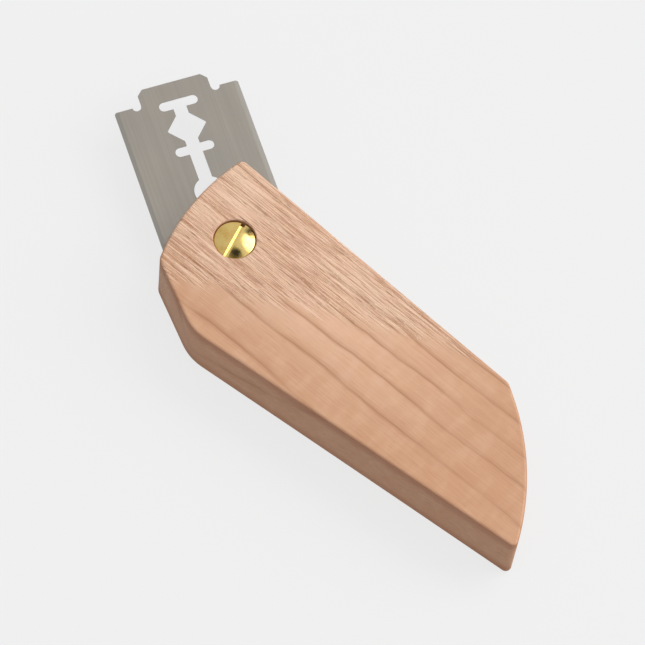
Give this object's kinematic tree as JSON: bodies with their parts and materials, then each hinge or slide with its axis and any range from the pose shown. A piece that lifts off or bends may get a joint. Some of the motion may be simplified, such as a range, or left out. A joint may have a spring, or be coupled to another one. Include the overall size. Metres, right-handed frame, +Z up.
{
  "type": "bread lame",
  "caption": "Bread lame: a double-edged razor blade clamped at an angle in a flat tapering wooden handle by a slotted brass screw, on which it swings into the handle.",
  "frame": {"origin": "the middle of the whole tool's box, on the plane it lies on (the handle's back face)", "axes": "+X along the handle towards the blade's end, +Z up out of the handle's front face, where the screw's slot is; the blade leans towards -Y"},
  "size_m": [0.1006, 0.0432, 0.012],
  "materials": {
    "cherry": "sanded, bare",
    "blade_steel": "satin",
    "brass": "polished"
  },
  "bodies": {
    "handle": {"handle_front_half": "cherry", "handle_back_half": "cherry"},
    "blade": {"razor_blade": "blade_steel"},
    "screw": {"clamp_screw": "brass"},
    "nut": {"barrel_nut": "brass"}
  },
  "joints": [
    {"name": "blade_swing", "type": "hinge", "parent": "handle", "child": "blade", "pos_m": [0.0185, 0.00429, 0.006], "axis": [0, 0, 1], "range_deg": [-151, 30]},
    {"name": "screw_turn", "type": "hinge", "parent": "handle", "child": "screw", "pos_m": [0.0185, 0.00429, 0.0098], "axis": [0, 0, 1], "range_deg": [0, 2880.5]},
    {"name": "nut_back_out", "type": "slide", "parent": "handle", "child": "nut", "axis": [0, 0, -1], "range_m": [0, 0.0056]}
  ],
  "couplings": [
    {"joint": "screw_turn", "follows": "nut_back_out", "rad_per_m": 8976}
  ]
}
